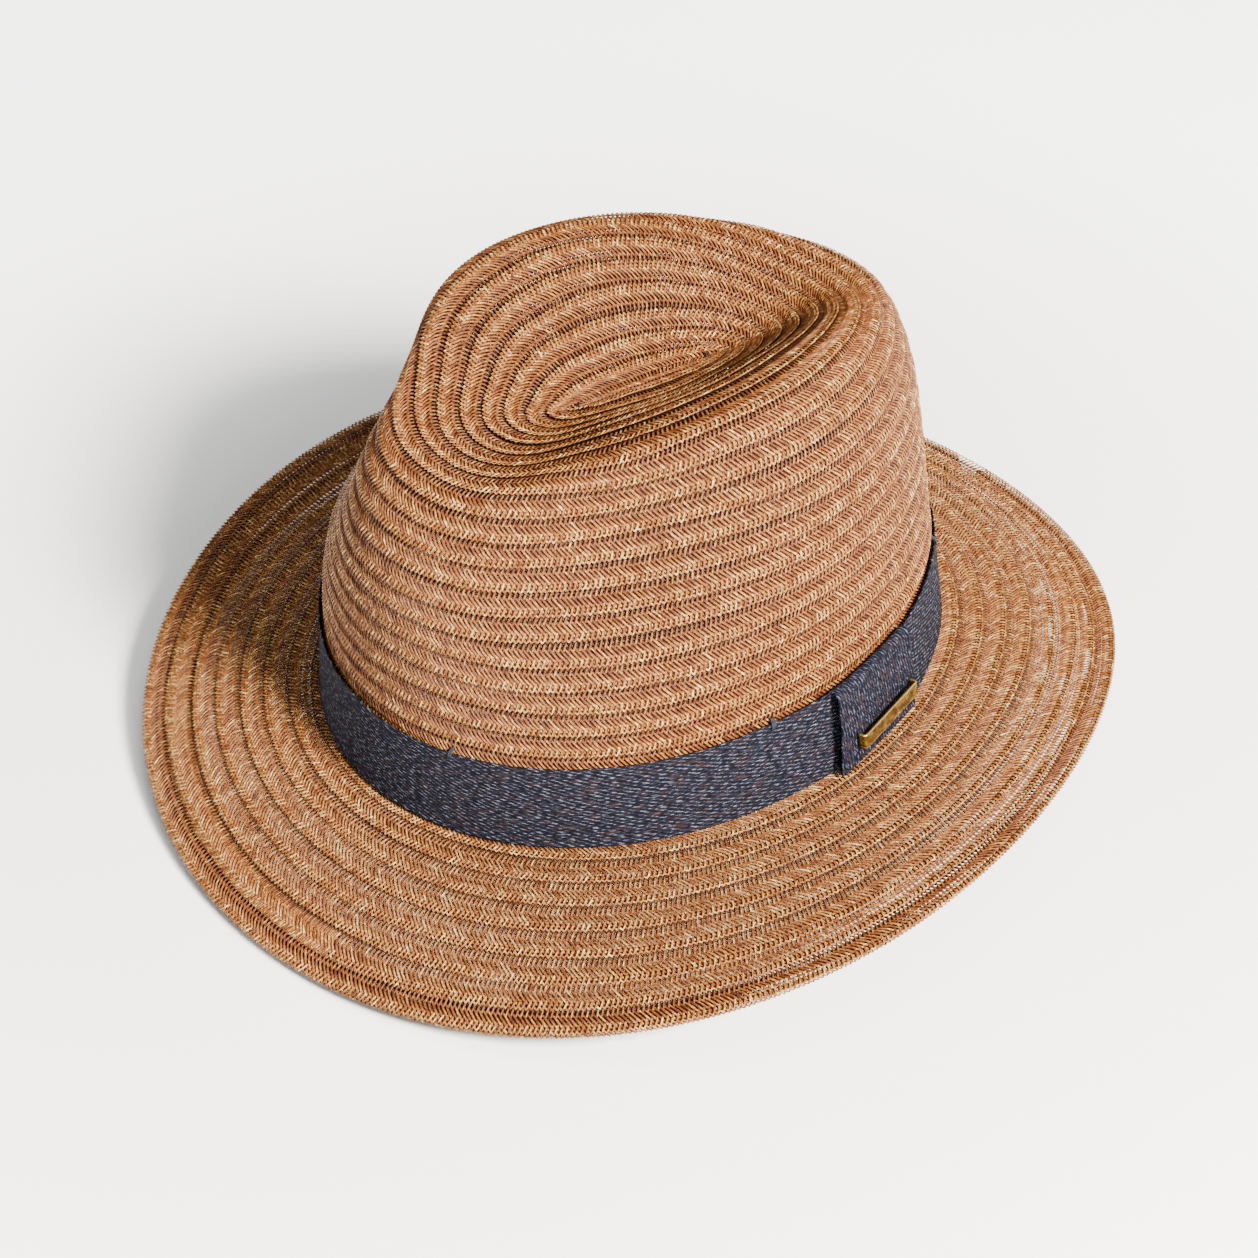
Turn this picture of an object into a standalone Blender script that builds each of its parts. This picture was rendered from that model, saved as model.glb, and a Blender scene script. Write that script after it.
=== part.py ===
"""Travel fedora of sewn hemp braid: teardrop crown, saddle brim, twill ribbon band with a
folded keeper and a brass bar, and the sweatband inside.

Frame: metres, +Z up. The origin is the centre of the head opening, level with the break
where the brim meets the crown. The front of the hat points to -Y and the wearer's left,
where the keeper and the brass bar are, is +X. Angles run round the crown from +X (left)
through +Y (back).
"""
import math

import bpy
import bmesh
from mathutils import Matrix, Vector

MM = 0.001

# --- driving dimensions, in metres and degrees ------------------------------------------
CLEARANCE = 0.3 * MM              # gap between pieces that touch
BRAID_THICKNESS = 1.5 * MM
BRAID_PITCH = 7.2 * MM            # visible width of one sewn row of braid

HEAD_HALF_LENGTH = 100.3 * MM     # outside of the crown at the brim break
HEAD_HALF_WIDTH = 86.2 * MM
HEAD_EGG = -0.036                 # the back of the oval is a little narrower
BREAK_FRONT_DIP = 2.6 * MM        # the break runs lower at the front than at the back
BREAK_SIDE_RISE = 1.6 * MM

SHOULDER_HALF_WIDTH = 61.8 * MM   # where the side wall turns over into the tip
SHOULDER_NARROWING = 0.242        # narrower towards the front
SHOULDER_WIDEST_Y = -21.8 * MM
SHOULDER_FRONT_Y = -82.7 * MM
SHOULDER_BACK_Y = 89.1 * MM
SHOULDER_FRONT_HEIGHT = 96.1 * MM
SHOULDER_SIDE_HEIGHT = 115.9 * MM
SHOULDER_BACK_HEIGHT = 99.7 * MM
SHOULDER_WAVE = 2.8 * MM
SHOULDER_ROLL = 8.7 * MM          # radius of the turn over the shoulder

WALL_LEAN = 0.46                  # share of the taper that runs evenly up the wall
WALL_LEAN_BACK = 0.20             # more of it at the back, less at the front
WALL_CURL = 8.4                   # how late the rest of the taper comes
WALL_CURL_BACK = 1.35

PINCH_DEPTH = 20.0 * MM           # the two dents either side of the front
PINCH_ANGLE = -30.0
PINCH_SPREAD = 27.5
PINCH_HEIGHT = 0.81               # as a share of the wall height
PINCH_HEIGHT_SPREAD = 0.209

VALLEY_HEIGHT = 93.8 * MM         # floor of the teardrop dent over the head's centre
VALLEY_SLOPE = 0.113              # it sinks towards the back
TIP_CENTRE_Y = 5.0 * MM           # the braid starts as a short straight run here
TIP_CENTRE_HALF_LENGTH = 25.0 * MM

BRIM_WIDTH = 57.8 * MM
BRIM_SIDE_EXTRA = 2.4 * MM        # wider at the sides than at the front and back
BRIM_CORNER_EXTRA = -2.5 * MM
BRIM_MEAN_RISE = -10.3 * MM       # height of the outer edge against the break
BRIM_BACK_RISE = 9.6 * MM
BRIM_SIDE_RISE = 11.4 * MM
BRIM_CORNER_RISE = 2.1 * MM
BRIM_CURL = 1.5                   # power of the rise from the break to the edge
EDGE_THICKNESS = 2.6 * MM         # the last row is folded back on itself

BAND_HEIGHT = 27.6 * MM
BAND_THICKNESS = 1.0 * MM
BAND_FOOT = 1.5 * MM              # bottom edge above the break
BAND_END_GAP = 1.0 * MM           # between the two ends, under the keeper

KEEPER_ANGLE = 10.5
KEEPER_WIDTH = 35.0 * MM
KEEPER_THICKNESS = 0.7 * MM
KEEPER_STAND_OFF = 1.5 * MM       # between the band and the keeper's face
KEEPER_FRONT_LIFT = 1.6 * MM      # its front edge stands further off

BAR_LENGTH = 29.0 * MM
BAR_HEIGHT = 4.0 * MM
BAR_THICKNESS = 0.8 * MM
BAR_LIP = 2.3 * MM                # the ends turn down towards the ribbon by this much
BAR_ANGLE = 11.0
BAR_LEVEL = 11.5 * MM             # centre of the bar above the break
PRONG_WIDTH = 1.6 * MM
PRONG_THICKNESS = 0.6 * MM
PRONG_TAIL = 3.2 * MM             # clinched behind the keeper's face
SLOT_CLEARANCE = 0.4 * MM

SWEATBAND_HEIGHT = 33.0 * MM
SWEATBAND_THICKNESS = 1.2 * MM
SWEATBAND_FOOT = 2.3 * MM
SWEATBAND_JOIN_GAP = 0.8 * MM
REED_DIAMETER = 1.7 * MM
TAPE_WIDTH = 14.0 * MM
TAPE_THICKNESS = 0.5 * MM
LABEL_WIDTH = 24.0 * MM
LABEL_HEIGHT = 14.0 * MM
LABEL_ANGLE = 66.0
TACK_COUNT = 6
TACK_LENGTH = 3.4 * MM
TACK_THICKNESS = 0.6 * MM

STATIONS = 64                     # sections round the hat
WALL_STEPS = 9
ROLL_STEPS = 3
TIP_STEPS = 6
BRIM_STEPS = 5


# --- shape of the hat body --------------------------------------------------------------
def break_height(a):
    """Height of the brim break at angle a (radians)."""
    return BREAK_FRONT_DIP * math.sin(a) + BREAK_SIDE_RISE * math.cos(2 * a)


def head_oval(a):
    """Outside of the crown at the brim break."""
    c, s = math.cos(a), math.sin(a)
    return Vector((HEAD_HALF_WIDTH * c * (1 + HEAD_EGG * s), HEAD_HALF_LENGTH * s))


def oval_normal(a):
    """Outward horizontal direction of the head oval."""
    return Vector((HEAD_HALF_LENGTH * math.cos(a), HEAD_HALF_WIDTH * math.sin(a))).normalized()


def shoulder_oval(a):
    """Plan of the shoulder, an egg that narrows to the front."""
    c, s = math.cos(a), math.sin(a)
    narrow = 1 - SHOULDER_NARROWING * ((1 - s) / 2) ** 2
    linear = (SHOULDER_BACK_Y - SHOULDER_FRONT_Y) / 2
    square = (SHOULDER_BACK_Y + SHOULDER_FRONT_Y) / 2 - SHOULDER_WIDEST_Y
    return Vector((SHOULDER_HALF_WIDTH * c * narrow, SHOULDER_WIDEST_Y + linear * s + square * s * s))


def shoulder_height(a):
    s = math.sin(a)
    front_back = (SHOULDER_FRONT_HEIGHT + SHOULDER_BACK_HEIGHT) / 2 - SHOULDER_SIDE_HEIGHT
    tilt = (SHOULDER_BACK_HEIGHT - SHOULDER_FRONT_HEIGHT) / 2
    return SHOULDER_SIDE_HEIGHT + tilt * s + front_back * s * s + SHOULDER_WAVE * math.sin(3 * a)


def pinch(a, t):
    """Depth of the two front dents at angle a and height share t."""
    depth = 0.0
    for centre in (math.radians(PINCH_ANGLE), math.pi - math.radians(PINCH_ANGLE)):
        off = math.degrees((a - centre + math.pi) % (2 * math.pi) - math.pi)
        depth += math.exp(-((off / PINCH_SPREAD) ** 2))
    rise = math.exp(-(((t - PINCH_HEIGHT) / PINCH_HEIGHT_SPREAD) ** 2))
    foot = 1 - math.exp(-((t / 0.15) ** 2))
    return PINCH_DEPTH * depth * rise * foot


def wall_point(a, t):
    """Outer face of the side wall; t runs from 0 at the break to 1 at the shoulder."""
    lean = WALL_LEAN + WALL_LEAN_BACK * math.sin(a)
    curl = WALL_CURL + WALL_CURL_BACK * math.sin(a)
    share = lean * t + (1 - lean) * max(t, 0) ** curl
    plan = head_oval(a).lerp(shoulder_oval(a), share)
    inward = (plan - Vector((0, -0.25 * HEAD_HALF_LENGTH))).normalized()
    plan -= inward * pinch(a, t)
    height = shoulder_height(a) * t + break_height(a) * (1 - t)
    return Vector((plan.x, plan.y, height))


def valley_height(y):
    return VALLEY_HEIGHT - VALLEY_SLOPE * y


def tip_centre(a):
    y = TIP_CENTRE_Y + TIP_CENTRE_HALF_LENGTH * math.sin(a)
    return Vector((0, y))


def roll_point(a, share):
    """Turn over the shoulder, from the wall's own slope (0) to level (1)."""
    top = wall_point(a, 1)
    step = top - wall_point(a, 0.97)
    lean = math.atan2(math.hypot(step.x, step.y), step.z)
    turn = lean + share * (math.pi / 2 - lean)
    inward = (tip_centre(a) - top.xy).normalized()
    across = SHOULDER_ROLL * (math.cos(lean) - math.cos(turn))
    rise = SHOULDER_ROLL * (math.sin(turn) - math.sin(lean))
    return Vector((top.x + inward.x * across, top.y + inward.y * across, top.z + rise))


def tip_point(a, share):
    """Inside of the teardrop dent, from the crest (0) to the start of the braid (1)."""
    crest = roll_point(a, 1)
    plan = crest.xy.lerp(tip_centre(a), share)
    floor = valley_height(plan.y)
    height = floor + (crest.z - floor) * (1 + math.cos(math.pi * share)) / 2
    return Vector((plan.x, plan.y, height))


def brim_width(a):
    return BRIM_WIDTH + BRIM_SIDE_EXTRA * math.cos(2 * a) + BRIM_CORNER_EXTRA * math.sin(3 * a)


def brim_point(a, out):
    """Upper face of the brim at a distance out from the break."""
    share = out / brim_width(a)
    edge = (BRIM_MEAN_RISE + BRIM_BACK_RISE * math.sin(a) + BRIM_SIDE_RISE * math.cos(2 * a)
            + BRIM_CORNER_RISE * math.sin(3 * a))
    plan = head_oval(a) + oval_normal(a) * out
    height = edge * max(share, 0) ** BRIM_CURL + break_height(a) * (1 - share)
    return Vector((plan.x, plan.y, height))


def wall_share(a, level):
    """Height share on the wall of a level measured up from the break."""
    return level / (shoulder_height(a) - break_height(a))


def on_wall(a, level, off):
    """Point at a level above the break and a distance off the wall's outer face."""
    t = wall_share(a, level)
    step = 0.01
    across = wall_point(a + step, t) - wall_point(a - step, t)
    along = wall_point(a, t + step) - wall_point(a, t - step)
    normal = across.cross(along).normalized()
    return wall_point(a, t) + normal * off


def angle_step(a, width):
    """Half the angle that a width takes up along the head oval near a."""
    speed = (head_oval(a + 0.01) - head_oval(a - 0.01)).length / 0.02
    return width / speed / 2


# --- mesh helpers -----------------------------------------------------------------------
def finish(bm, name, colour, roughness, metallic=0.0):
    """Turn a closed bmesh into a named, smooth-shaded object with its own material."""
    bmesh.ops.recalc_face_normals(bm, faces=bm.faces)
    if bm.calc_volume(signed=True) < 0:
        bmesh.ops.reverse_faces(bm, faces=bm.faces)
    mesh = bpy.data.meshes.new(name)
    bm.to_mesh(mesh)
    bm.free()
    mesh.shade_smooth()
    mesh.set_sharp_from_angle(angle=math.radians(40))
    material = bpy.data.materials.new(name)
    material.use_nodes = True
    shader = material.node_tree.nodes["Principled BSDF"]
    shader.inputs["Base Color"].default_value = (*colour, 1)
    shader.inputs["Roughness"].default_value = roughness
    shader.inputs["Metallic"].default_value = metallic
    mesh.materials.append(material)
    piece = bpy.data.objects.new(name, mesh)
    bpy.context.scene.collection.objects.link(piece)
    return piece


def add_loops(bm, loops):
    return [[bm.verts.new(p) for p in loop] for loop in loops]


def skin(bm, loops, closed):
    """Faces between neighbouring closed loops of vertices."""
    pairs = list(zip(loops, loops[1:]))
    if closed:
        pairs.append((loops[-1], loops[0]))
    for low, high in pairs:
        count = len(low)
        for i in range(count):
            j = (i + 1) % count
            bm.faces.new((low[i], low[j], high[j], high[i]))


def ring_body(sections, closed=True):
    """Closed body swept through sections; an open one gets flat ends."""
    bm = bmesh.new()
    loops = add_loops(bm, sections)
    skin(bm, loops, closed)
    if not closed:
        bm.faces.new(loops[0])
        bm.faces.new(loops[-1])
    return bm


def shell_section(outer, inner):
    """Section of a wall from its outer face and its inner face, both listed the same way."""
    return list(outer) + list(reversed(inner))


def stations(start=0.0, stop=2 * math.pi, count=STATIONS):
    """Angles round the hat; a full turn leaves out its last, repeated angle."""
    full = abs(stop - start - 2 * math.pi) < 1e-9
    steps = count if full else count - 1
    return [start + (stop - start) * i / steps for i in range(count)]


def meridian_normals(rows):
    """Outward normals of a grid of points rows[i][k], i round the hat and k up it."""
    normals = []
    count = len(rows)
    for i in range(count):
        line = []
        for k in range(len(rows[i])):
            across = rows[(i + 1) % count][k] - rows[i - 1][k]
            low, high = max(k - 1, 0), min(k + 1, len(rows[i]) - 1)
            along = rows[i][high] - rows[i][low]
            line.append(across.cross(along).normalized())
        normals.append(line)
    return normals


# --- hat body ---------------------------------------------------------------------------
STRAW = (0.46, 0.26, 0.13)


def make_crown_wall():
    shares = [(k / WALL_STEPS) ** 0.8 for k in range(WALL_STEPS + 1)]
    rows = []
    for a in stations():
        line = [wall_point(a, t) for t in shares]
        line += [roll_point(a, (k + 1) / ROLL_STEPS) for k in range(ROLL_STEPS)]
        rows.append(line)
    normals = meridian_normals(rows)
    sections = []
    for line, directions in zip(rows, normals):
        # the crest meets the tip with both faces cut upright
        directions[-1] = Vector((0, 0, 1))
        inner = [p - n * BRAID_THICKNESS for p, n in zip(line, directions)]
        foot = Vector((0, 0, CLEARANCE))
        line[0] = line[0] + foot
        inner[0] = Vector((inner[0].x, inner[0].y, line[0].z))
        sections.append(shell_section(line, inner))
    finish(ring_body(sections), "crown_wall", STRAW, 0.7)


def make_crown_tip():
    """The dented top: rings of the outer and inner face, zipped shut along the centre line."""
    crest_gap = CLEARANCE / (50 * MM)
    last = 0.9
    shares = [crest_gap + (last - crest_gap) * k / TIP_STEPS for k in range(TIP_STEPS + 1)]
    rows = [[tip_point(a, t) for t in shares] for a in stations()]
    normals = meridian_normals(rows)
    for directions in normals:
        directions[0] = Vector((0, 0, 1))
    bm = bmesh.new()
    outer = []
    inner = []
    for k in range(len(shares)):
        outer.append([bm.verts.new(line[k]) for line in rows])
        inner.append([bm.verts.new(line[k] - n[k] * BRAID_THICKNESS) for line, n in zip(rows, normals)])
    skin(bm, outer, False)
    skin(bm, inner, False)
    skin(bm, [outer[0], inner[0]], False)
    quarter = STATIONS // 4
    for ring in (outer[-1], inner[-1]):
        for i in range(-quarter, quarter):
            near = [ring[i % STATIONS], ring[(i + 1) % STATIONS]]
            far = [ring[(STATIONS // 2 - i - 1) % STATIONS], ring[(STATIONS // 2 - i) % STATIONS]]
            corners = []
            for vert in near + far:
                if vert not in corners:
                    corners.append(vert)
            bm.faces.new(corners)
    finish(bm, "crown_tip", STRAW, 0.7)


def make_brim():
    down = Vector((0, 0, -BRAID_THICKNESS))
    sections = []
    for a in stations():
        reach = brim_width(a) - BRAID_PITCH - CLEARANCE
        outs = [-BRAID_THICKNESS + (reach + BRAID_THICKNESS) * k / BRIM_STEPS for k in range(BRIM_STEPS + 1)]
        top = [brim_point(a, out) for out in outs]
        sections.append(shell_section(top, [p + down for p in top]))
    finish(ring_body(sections), "brim", STRAW, 0.7)


def make_brim_edge():
    """Last row of braid, folded double, with a rounded outer edge."""
    proud = (EDGE_THICKNESS - BRAID_THICKNESS) / 2
    chamfer = 0.7 * MM
    sections = []
    for a in stations():
        width = brim_width(a)
        inner = brim_point(a, width - BRAID_PITCH)
        outer = brim_point(a, width - chamfer)
        lip = brim_point(a, width)
        up = Vector((0, 0, proud))
        down = Vector((0, 0, -BRAID_THICKNESS - proud))
        nose = Vector((0, 0, chamfer))
        sections.append([inner + up, outer + up, lip + up - nose, lip + down + nose, outer + down, inner + down])
    finish(ring_body(sections), "brim_edge", STRAW, 0.7)


# --- ribbon band, keeper and brass bar --------------------------------------------------
NAVY = (0.035, 0.040, 0.060)


def keeper_span():
    centre = math.radians(KEEPER_ANGLE)
    half = angle_step(centre, KEEPER_WIDTH)
    return centre - half, centre + half


def band_off(a):
    """Distance of the band's inner face from the wall: it rides over the keeper's inner ply."""
    start, stop = keeper_span()
    under = CLEARANCE + KEEPER_THICKNESS
    ramp = math.radians(7)
    mid = (start + stop) / 2
    past = abs((a - mid + math.pi) % (2 * math.pi) - math.pi) - (stop - start) / 2 - math.radians(1)
    share = min(max(past / ramp, 0), 1)
    return CLEARANCE + under * (1 + math.cos(math.pi * share)) / 2


def make_hatband():
    centre = math.radians(KEEPER_ANGLE)
    half_gap = angle_step(centre, BAND_END_GAP)
    start, stop = centre + half_gap, centre + 2 * math.pi - half_gap
    levels = [BAND_FOOT + BAND_HEIGHT * k / 2 for k in range(3)]
    # more stations near the keeper, where the band steps out over the inner ply
    angles = [start + (stop - start) * i / (STATIONS + 11) for i in range(STATIONS + 12)]
    sections = []
    for a in angles:
        off = band_off(a)
        inner = [on_wall(a, level, off) for level in levels]
        outer = [on_wall(a, level, off + BAND_THICKNESS) for level in levels]
        sections.append(shell_section(outer, inner))
    finish(ring_body(sections, closed=False), "hatband", NAVY, 0.8)


def keeper_face_off(a):
    """Distance of the keeper's front face from the wall."""
    start, stop = keeper_span()
    share = (a - start) / (stop - start)
    lift = KEEPER_FRONT_LIFT * (1 - share) ** 2
    inner_stack = CLEARANCE + KEEPER_THICKNESS + CLEARANCE + BAND_THICKNESS
    return inner_stack + KEEPER_STAND_OFF + lift + KEEPER_THICKNESS


def keeper_loops(a):
    """Outer and inner outline of the loop of ribbon at one angle, as (level, off) pairs."""
    face = keeper_face_off(a)
    back = CLEARANCE
    low = BAND_FOOT - CLEARANCE - KEEPER_THICKNESS
    high = BAND_FOOT + BAND_HEIGHT + CLEARANCE + KEEPER_THICKNESS
    mid = (low + high) / 2
    bend = 0.9 * MM
    outer = [(low, back), (low, face - bend), (low + bend, face), (mid, face), (high - bend, face),
             (high, face - bend), (high, back), (mid, back)]
    t = KEEPER_THICKNESS
    inner = [(low + t, back + t), (low + t, face - bend - t / 3), (low + bend + t / 3, face - t), (mid, face - t),
             (high - bend - t / 3, face - t), (high - t, face - bend - t / 3), (high - t, back + t), (mid, back + t)]
    return ([on_wall(a, level, off) for level, off in outer], [on_wall(a, level, off) for level, off in inner])


def make_ribbon_keeper():
    start, stop = keeper_span()
    bm = bmesh.new()
    outer = []
    inner = []
    for a in stations(start, stop, 9):
        outline, hollow = keeper_loops(a)
        outer.append([bm.verts.new(p) for p in outline])
        inner.append([bm.verts.new(p) for p in hollow])
    skin(bm, outer, False)
    skin(bm, inner, False)
    skin(bm, [outer[0], inner[0]], False)
    skin(bm, [outer[-1], inner[-1]], False)
    keeper = finish(bm, "ribbon_keeper", NAVY, 0.8)
    for side in (-1, 1):
        slot = make_box("slot_cutter", bar_frame(),
                        (PRONG_THICKNESS + 2 * SLOT_CLEARANCE, PRONG_WIDTH + 2 * SLOT_CLEARANCE, 5 * MM),
                        (side * prong_place(), 0, -BAR_LIP - 1 * MM))
        slot.hide_render = True
        slot.display_type = "WIRE"
        cut = keeper.modifiers.new("prong slot", "BOOLEAN")
        cut.operation = "DIFFERENCE"
        cut.solver = "EXACT"
        cut.object = slot


def bar_frame():
    """Placement of the bar: x along it, y up it, z out from the ribbon, origin at its back face."""
    a = math.radians(BAR_ANGLE)
    spread = angle_step(a, BAR_LENGTH)
    ends = [on_wall(b, BAR_LEVEL, keeper_face_off(b)) for b in (a - spread, a + spread)]
    along = (ends[1] - ends[0]).normalized()
    out = on_wall(a, BAR_LEVEL, MM) - on_wall(a, BAR_LEVEL, 0)
    up = out.cross(along).normalized()
    out = along.cross(up).normalized()
    # the ribbon bows outwards between the ends, so the lips stand on it and the bar clears it
    seat = (ends[0] + ends[1]) / 2 + out * (2 * CLEARANCE + BAR_LIP)
    return Matrix.Translation(seat) @ Matrix((along, up, out)).transposed().to_4x4()


def prong_place():
    return BAR_LENGTH / 2 - BAR_THICKNESS / 2


def box_mesh(size, centre, frame):
    bm = bmesh.new()
    bmesh.ops.create_cube(bm, size=1.0)
    bmesh.ops.scale(bm, vec=Vector(size), verts=bm.verts)
    bmesh.ops.translate(bm, vec=Vector(centre), verts=bm.verts)
    bmesh.ops.transform(bm, matrix=frame, verts=bm.verts)
    return bm


def make_box(name, frame, size, centre):
    mesh = bpy.data.meshes.new(name)
    bm = box_mesh(size, centre, frame)
    bm.to_mesh(mesh)
    bm.free()
    piece = bpy.data.objects.new(name, mesh)
    bpy.context.scene.collection.objects.link(piece)
    return piece


def extrude_outline(points, width, frame):
    """Prism of an outline in the bar's x-z plane, centred on y."""
    bm = bmesh.new()
    verts = [bm.verts.new((x, -width / 2, z)) for x, z in points]
    face = bm.faces.new(verts)
    grown = bmesh.ops.extrude_face_region(bm, geom=[face])
    moved = [item for item in grown["geom"] if isinstance(item, bmesh.types.BMVert)]
    bmesh.ops.translate(bm, vec=(0, width, 0), verts=moved)
    bmesh.ops.transform(bm, matrix=frame, verts=bm.verts)
    return bm


def make_badge_bar():
    """Flat bar whose turned-down ends carry a prong each, clinched behind the keeper's face."""
    frame = bar_frame()
    half = BAR_LENGTH / 2
    bend = BAR_THICKNESS
    top = BAR_THICKNESS
    outline = [(-half, -BAR_LIP), (-half, top - bend * 0.7), (-half + bend * 0.3, top - bend * 0.3),
               (-half + bend * 0.7, top), (half - bend * 0.7, top), (half - bend * 0.3, top - bend * 0.3),
               (half, top - bend * 0.7), (half, -BAR_LIP), (half - BAR_THICKNESS, -BAR_LIP),
               (half - BAR_THICKNESS, 0), (-half + BAR_THICKNESS, 0), (-half + BAR_THICKNESS, -BAR_LIP)]
    bar = finish(extrude_outline(outline, BAR_HEIGHT, frame), "badge_bar", (0.30, 0.20, 0.07), 0.35, 1.0)
    for side in (-1, 1):
        place = side * prong_place()
        t = PRONG_THICKNESS / 2
        deep = -BAR_LIP - CLEARANCE - KEEPER_THICKNESS - 0.45 * MM
        tail = deep - PRONG_THICKNESS
        prong = [(place + side * t, -BAR_LIP / 2), (place + side * t, tail),
                 (place - side * PRONG_TAIL, tail), (place - side * PRONG_TAIL, deep),
                 (place - side * t, deep), (place - side * t, -BAR_LIP / 2)]
        mesh = bpy.data.meshes.new("prong_shape")
        bm = extrude_outline(prong, PRONG_WIDTH, frame)
        bmesh.ops.recalc_face_normals(bm, faces=bm.faces)
        bm.to_mesh(mesh)
        bm.free()
        shape = bpy.data.objects.new("prong_shape", mesh)
        bpy.context.scene.collection.objects.link(shape)
        shape.hide_render = True
        shape.display_type = "WIRE"
        join = bar.modifiers.new("prong", "BOOLEAN")
        join.operation = "UNION"
        join.solver = "EXACT"
        join.object = shape


def make_band_tacks():
    """Small stitches of thread that hold the band's upper edge to the crown."""
    top = BAND_FOOT + BAND_HEIGHT
    thick = TACK_THICKNESS
    for number in range(TACK_COUNT):
        a = math.radians(KEEPER_ANGLE + 38) + 2 * math.pi * number / TACK_COUNT
        half = angle_step(a, thick)
        off = band_off(a)
        over = off + BAND_THICKNESS + CLEARANCE
        path = [(top - TACK_LENGTH / 2, over), (top + CLEARANCE, over), (top + CLEARANCE, CLEARANCE),
                (top + TACK_LENGTH / 2, CLEARANCE), (top + TACK_LENGTH / 2, CLEARANCE + thick),
                (top + CLEARANCE + thick, CLEARANCE + thick), (top + CLEARANCE + thick, over + thick * 0.6),
                (top + CLEARANCE, over + thick), (top - TACK_LENGTH / 2, over + thick)]
        sections = [[on_wall(b, level, away) for level, away in path] for b in (a - half, a + half)]
        finish(ring_body(sections, closed=False), f"band_tack_{number + 1}", NAVY, 0.7)


# --- inside -----------------------------------------------------------------------------
SWEAT = (0.05, 0.045, 0.045)


def sweatband_off():
    return -BRAID_THICKNESS - CLEARANCE


def make_sweatband():
    back = math.pi / 2
    half_gap = angle_step(back, SWEATBAND_JOIN_GAP)
    start, stop = back + half_gap, back + 2 * math.pi - half_gap
    levels = [SWEATBAND_FOOT + SWEATBAND_HEIGHT * k / 2 for k in range(3)]
    off = sweatband_off()
    sections = []
    for a in stations(start, stop, STATIONS + 1):
        outer = [on_wall(a, level, off) for level in levels]
        inner = [on_wall(a, level, off - SWEATBAND_THICKNESS) for level in levels]
        sections.append(shell_section(outer, inner))
    finish(ring_body(sections, closed=False), "sweatband", SWEAT, 0.55)


def make_reed():
    """Round reed that stiffens the sweatband's lower edge, in the corner above the brim."""
    radius = REED_DIAMETER / 2
    level = SWEATBAND_FOOT - CLEARANCE - radius
    off = sweatband_off() - CLEARANCE - radius
    sides = 8
    sections = []
    for a in stations():
        ring = []
        for k in range(sides):
            turn = 2 * math.pi * k / sides
            ring.append(on_wall(a, level + radius * math.sin(turn), off + radius * math.cos(turn)))
        sections.append(ring)
    finish(ring_body(sections), "sweatband_reed", SWEAT, 0.5)


def make_inside_patch(name, centre, width, low, high, thickness, colour):
    """Thin patch lying on the inner face of the sweatband."""
    half = angle_step(centre, width)
    near = sweatband_off() - SWEATBAND_THICKNESS - CLEARANCE
    sections = []
    for a in stations(centre - half, centre + half, 6):
        outer = [on_wall(a, level, near) for level in (low, high)]
        inner = [on_wall(a, level, near - thickness) for level in (low, high)]
        sections.append(shell_section(outer, inner))
    finish(ring_body(sections, closed=False), name, colour, 0.7)


def make_inside_patches():
    foot = SWEATBAND_FOOT + 1.5 * MM
    head = SWEATBAND_FOOT + SWEATBAND_HEIGHT
    make_inside_patch("sweatband_join_tape", math.pi / 2, TAPE_WIDTH, foot, head, TAPE_THICKNESS, SWEAT)
    middle = SWEATBAND_FOOT + SWEATBAND_HEIGHT / 2
    make_inside_patch("size_label", math.radians(LABEL_ANGLE), LABEL_WIDTH, middle - LABEL_HEIGHT / 2,
                      middle + LABEL_HEIGHT / 2, TAPE_THICKNESS, (0.7, 0.68, 0.62))


def main():
    for old in list(bpy.data.objects):
        bpy.data.objects.remove(old, do_unlink=True)
    make_crown_wall()
    make_crown_tip()
    make_brim()
    make_brim_edge()
    make_hatband()
    make_ribbon_keeper()
    make_badge_bar()
    make_band_tacks()
    make_sweatband()
    make_reed()
    make_inside_patches()


main()
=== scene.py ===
"""The looks of a travel fedora: a crown and brim of sewn hemp braid, a denim twill ribbon
band with a folded keeper and a brass bar, and the sweatband inside.

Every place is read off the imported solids. Their outer skin is sampled into one smooth
sheet of (angle round the hat, distance up from the brim break), and the braid, ribbon and
tape are laid on that sheet. Lengths are in metres.
"""

import math

import bmesh
import bpy
import numpy as np
from mathutils import Matrix, Vector
from mathutils.bvhtree import BVHTree
from mathutils.kdtree import KDTree


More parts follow.
